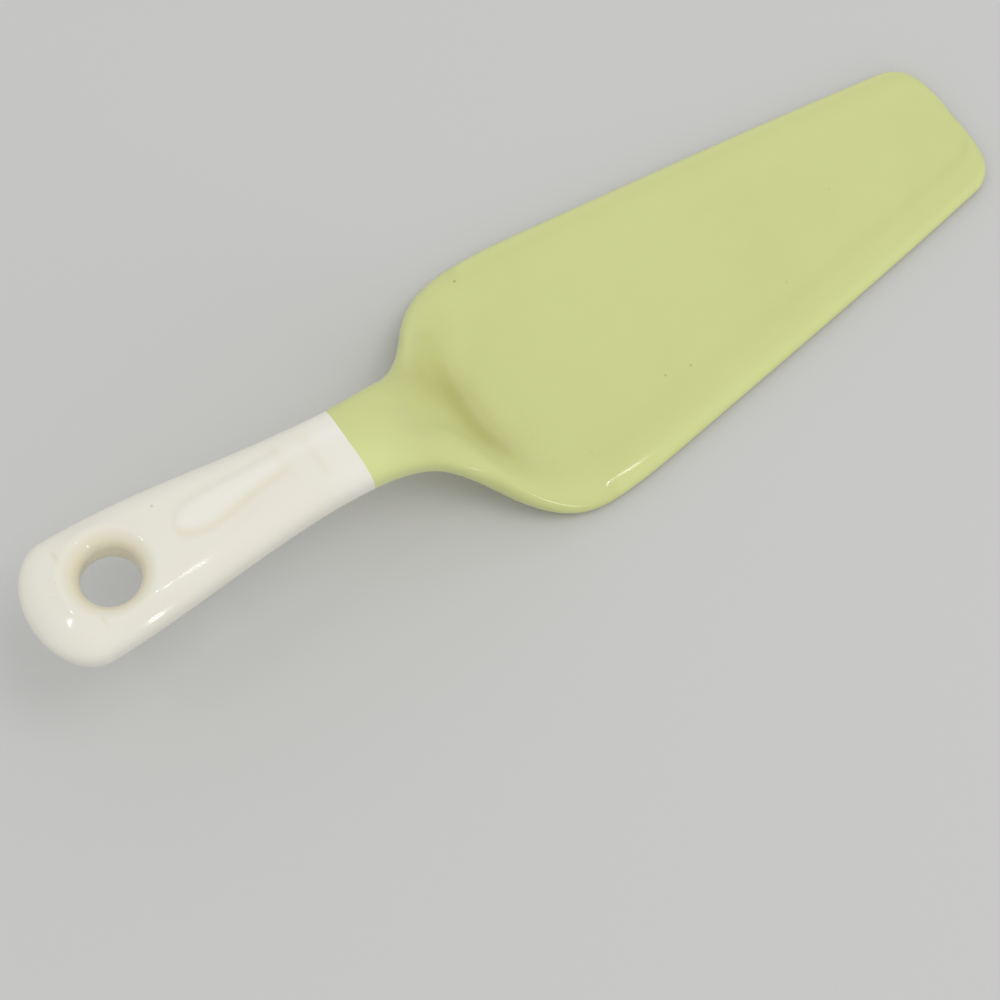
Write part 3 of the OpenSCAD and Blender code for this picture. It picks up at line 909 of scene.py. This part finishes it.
def clay_material(colour):
    material, nodes, shader = new_material("Fired clay")
    place = nodes.add("ShaderNodeTexCoord").outputs["Object"]
    sand = nodes.noise(place, scale=1800.0, detail=4.0, rough=0.7)
    cloud = nodes.noise(place, scale=60.0, detail=3.0, rough=0.5)
    pores = use_group(nodes, pinhole_group(), Vector=place, Scale=500.0, Radius=0.16, Keep=0.35)
    darker = tuple(value * 0.72 for value in colour)
    tone = nodes.mix_colour(nodes.ranged(cloud, 0.35, 0.7), four(colour), four(darker))
    tone = nodes.mix_colour(nodes.ranged(sand, 0.5, 0.8, 0.0, 0.3), tone, four(SAND_COLOUR))
    tone = nodes.mix_colour(nodes.math("MULTIPLY", pores["Mask"], 0.6), tone, four(PORE_COLOUR))
    nodes.put(shader["Base Color"], tone)
    nodes.put(shader["Roughness"], nodes.ranged(sand, 0.2, 0.8, 0.75, 0.95))
    height = nodes.math("SUBTRACT", sand, pores["Mask"])
    nodes.put(shader["Normal"], nodes.bump(height, strength=0.6, distance=0.12 * MM))
    return material


class SERVER_OT_clay(Operator):
    """Adds the one fired piece of clay under both glazes"""

    bl_idname = "cake_server.clay"
    bl_label = "Add Clay"

    def execute(self, context):
        scene = context.scene
        shape = ServerShape(scene)
        piece = whole_skin(shape, shape.all.glaze_t, "clay_core")
        soften(piece)
        piece.data.materials.append(clay_material(scene.cake_colours.clay))
        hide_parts("clay_body")
        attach(piece, "root")
        return {"FINISHED"}


# Where the green glaze pools and where shade is painted: the fold carries pooled glaze with painted
# shade over it, and the patch on the far side of the scoop is painted shade alone. Places and widths
# are in millimetres, and the fold's bend is per metre.
FOLD_X = 100.8
FOLD_BEND = 11
FOLD_W = 4
FOLD_NEAR = (-17, 11)
FOLD_FAR = (25, 8)
FOLD_WEAKER = (15, 12)
FOLD_LEFT = 0.25
FOLD_POOL_AND_SHADE = 0.75
SCOOP_SHADE = 0.4
SCOOP_SHADE_PLACE = (94, 9, 6)

# Where it thins and where light is painted: the rim's glaze thins at the edge, and the near side of
# the neck is made lighter for thinner glaze by the glaze line and as painted light on the flank that
# faces the light. The rim's places are shares of the half width, the neck's are in millimetres.
RIM_START = 0.86
RIM_STRETCH = 0.1
RIM_CREST = 0.35
NECK_END = (86, 12)
NECK_FAR = (3, 8)
NECK_THIN_AND_LIT = 0.55


class SERVER_OT_green_glaze(Operator):
    """Adds the green coat on the neck and the blade"""

    bl_idname = "cake_server.green_glaze"
    bl_label = "Add Green Glaze"

    def execute(self, context):
        scene = context.scene
        shape = ServerShape(scene)
        piece = blade_skin(shape, "green_coat")
        carve(piece, bpy.data.objects["clay_core"])
        slab = dry_slab(shape)
        carve(piece, slab)
        bpy.data.objects.remove(slab)
        soften(piece)
        x, y, z = places_of(piece)
        on_top = shape.on_top_side(x, z)
        fold = bump_of(x - FOLD_X * MM - FOLD_BEND * y * y, FOLD_W * MM)
        fold *= rising(y, *FOLD_NEAR) * falling(y, *FOLD_FAR)
        fold *= mix(FOLD_LEFT, 1, falling(y, *FOLD_WEAKER))
        along, across, reach = (value * MM for value in SCOOP_SHADE_PLACE)
        scoop = bump_of(x - along, reach) * bump_of(y - across, reach)
        # The pool mark is pooled glaze in the fold with painted shade over it, and painted shade alone
        # on the far side of the scoop.
        mark(piece, "pool_and_shade", (FOLD_POOL_AND_SHADE * fold + SCOOP_SHADE * scoop) * on_top)
        edge = np.abs(y) / np.maximum(shape.half_width(x, 0), HAIR)
        rim = eased((edge - RIM_START) / RIM_STRETCH) * (x > shape.heel_x)
        neck = falling(x, *NECK_END) * falling(y, *NECK_FAR) * on_top
        # On the rim the crest mark is thin glaze. On the neck's near side it is thinner glaze with
        # painted light over it.
        mark(piece, "crest", RIM_CREST * rim + NECK_THIN_AND_LIT * neck)
        tints = scene.cake_colours
        piece.data.materials.append(glaze_material(
            "Green glaze", tints.green, tints.green_deep_and_shade, tints.green_thin_and_lit,
            roughness=0.05, mottle=0.16, ripple=0.03 * MM,
            specks=specks_on(shape, BLADE_SPECKS), speck=tints.speck))
        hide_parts("blade_glaze")
        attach(piece, "root")
        return {"FINISHED"}


# Where the ivory glaze pools and where it thins: widths and places in millimetres
LINING_W = 3.5
LINING_POOL = 0.6
HOLLOW_POOL = 0.42
PETAL_CREST_W = 3
PETAL_CREST = 0.4
LINE_START = (62, 8)
LINE_CREST = 0.3


class SERVER_OT_ivory_glaze(Operator):
    """Adds the ivory coat on the handle, with the moulded relief under it"""

    bl_idname = "cake_server.ivory_glaze"
    bl_label = "Add Ivory Glaze"

    def execute(self, context):
        scene = context.scene
        shape = ServerShape(scene)
        piece = handle_skin(shape, "ivory_coat")
        carve(piece, bpy.data.objects["clay_core"])
        soften(piece)
        x, y, z = places_of(piece)
        on_top = shape.on_top_side(x, z)
        hole_reach = (shape.handle.hole_r + shape.handle.flare_r) / MM
        lining = falling(np.hypot(x - shape.hole_top_x, y), hole_reach, LINING_W)
        hollows = shape.hollows(x, y) * on_top
        mark(piece, "pool_and_shade", np.maximum(LINING_POOL * lining, HOLLOW_POOL * hollows))
        petal = rising(shape.petal(x, y)[0], 0, PETAL_CREST_W) * on_top
        mark(piece, "crest", PETAL_CREST * petal + LINE_CREST * rising(x, *LINE_START))
        tints = scene.cake_colours
        piece.data.materials.append(glaze_material(
            "Ivory glaze", tints.ivory, tints.ivory_deep, tints.ivory_thin,
            roughness=0.07, mottle=0.17, ripple=0.08 * MM,
            specks=specks_on(shape, HANDLE_SPECKS), speck=tints.speck))
        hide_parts("handle_glaze")
        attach(piece, "root")
        return {"FINISHED"}


CAMERA_AIM = Vector((-20.2, -18.1, 0.0)) * MM
CAMERA_DISTANCE = 473.6 * MM
CAMERA_AZIMUTH = math.radians(55.14)
CAMERA_ELEVATION = math.radians(70.46)
CAMERA_ROLL = math.radians(0.57)
CAMERA_LENS = 79.2

FLOOR_REACH = 3.0
LAMP_DISTANCE = 1.6
# Name, size that holds its strength, direction, width and height in metres, turn in degrees
LAMPS = (
    ("window", "window", (0.25, -0.22, 0.93), 0.8, 0.8, 0),
    ("front glint", "front", (0.28, -0.275, 0.92), 0.28, 0.008, -112),
    ("side glint", "side", (0.15, -0.93, 0.34), 0.6, 0.009, -95),
    ("rear glint", "rear", (-0.41, 0.20, 0.89), 0.05, 0.01, 0),
)


def point_at(thing, heading, roll=0.0):
    """Turns a lamp or the camera along a heading, level but for its roll."""
    turn = heading.to_track_quat("-Z", "Y").to_matrix()
    thing.matrix_world = turn.to_4x4()
    thing.rotation_euler.rotate_axis("Z", roll)


def add_lamp(name, direction, width, height, turn, share_of_light):
    """An area lamp that gives level ground the stated share of a plain light."""
    light = bpy.data.lights.new(name, "AREA")
    light.shape = "RECTANGLE"
    light.size = width
    light.size_y = height
    towards = Vector(direction).normalized()
    light.energy = share_of_light * (math.pi * LAMP_DISTANCE) ** 2 / towards.z
    lamp = bpy.data.objects.new(name, light)
    bpy.context.scene.collection.objects.link(lamp)
    point_at(lamp, -towards, math.radians(turn))
    lamp.location = towards * LAMP_DISTANCE
    return lamp


def add_floor(colour):
    mesh = bpy.data.meshes.new("floor")
    corners = ((-1, -1), (1, -1), (1, 1), (-1, 1))
    mesh.from_pydata([(x * FLOOR_REACH, y * FLOOR_REACH, 0) for x, y in corners], [], [(0, 1, 2, 3)])
    floor = bpy.data.objects.new("floor", mesh)
    bpy.context.scene.collection.objects.link(floor)
    material, nodes, shader = new_material("Floor")
    nodes.put(shader["Base Color"], four(colour))
    nodes.put(shader["Roughness"], 0.8)
    mesh.materials.append(material)


def add_sky(scene, strength):
    world = bpy.data.worlds.new("sky")
    world.use_nodes = True
    background = world.node_tree.nodes["Background"].inputs
    background["Strength"].default_value = strength
    background["Color"].default_value = (1, 1, 1, 1)
    scene.world = world


def add_camera(scene):
    """The camera that looks as the photo's did."""
    camera = bpy.data.objects.new("camera", bpy.data.cameras.new("camera"))
    scene.collection.objects.link(camera)
    flat = math.cos(CAMERA_ELEVATION)
    heading = Vector((flat * math.cos(CAMERA_AZIMUTH), flat * math.sin(CAMERA_AZIMUTH),
                      -math.sin(CAMERA_ELEVATION)))
    point_at(camera, heading, CAMERA_ROLL)
    camera.location = CAMERA_AIM - heading * CAMERA_DISTANCE
    camera.data.sensor_width = 36.0
    camera.data.lens = CAMERA_LENS
    camera.data.clip_start = 0.01
    scene.camera = camera


class SERVER_OT_stage(Operator):
    """Adds the plain floor, the lamps, the sky and the camera"""

    bl_idname = "cake_server.stage"
    bl_label = "Add Stage"

    def execute(self, context):
        scene = context.scene
        stage = scene.cake_stage
        add_floor(stage.floor)
        for name, strength, direction, width, height, turn in LAMPS:
            lamp = add_lamp(name, direction, width, height, turn, getattr(stage, strength))
            lamp.visible_glossy = name != "window"
        add_sky(scene, stage.sky)
        add_camera(scene)
        scene.view_settings.view_transform = "Standard"
        return {"FINISHED"}


class SERVER_PT_sidebar(Panel):
    """Lists the server's sizes, colours and building steps"""

    bl_label = "Cake Server"
    bl_idname = "SERVER_PT_sidebar"
    bl_space_type = "VIEW_3D"
    bl_region_type = "UI"
    bl_category = "Cake Server"

    def draw(self, context):
        for step in STEPS:
            self.layout.operator(step.bl_idname)
        for attribute, group in GROUPS.items():
            box = self.layout.box()
            box.label(text=group.__name__)
            for name in group.__annotations__:
                box.prop(getattr(context.scene, attribute), name)


STEPS = (SERVER_OT_stage, SERVER_OT_clay, SERVER_OT_green_glaze, SERVER_OT_ivory_glaze)


def register():
    for group in GROUPS.values():
        bpy.utils.register_class(group)
    for attribute, group in GROUPS.items():
        setattr(bpy.types.Scene, attribute, PointerProperty(type=group))
    for item in (*STEPS, SERVER_PT_sidebar):
        bpy.utils.register_class(item)


def unregister():
    for item in (SERVER_PT_sidebar, *STEPS[::-1]):
        bpy.utils.unregister_class(item)
    for attribute, group in GROUPS.items():
        delattr(bpy.types.Scene, attribute)
        bpy.utils.unregister_class(group)


def main():
    register()
    bpy.ops.cake_server.stage()
    bpy.ops.cake_server.clay()
    bpy.ops.cake_server.green_glaze()
    bpy.ops.cake_server.ivory_glaze()


if __name__ == "__main__":
    main()
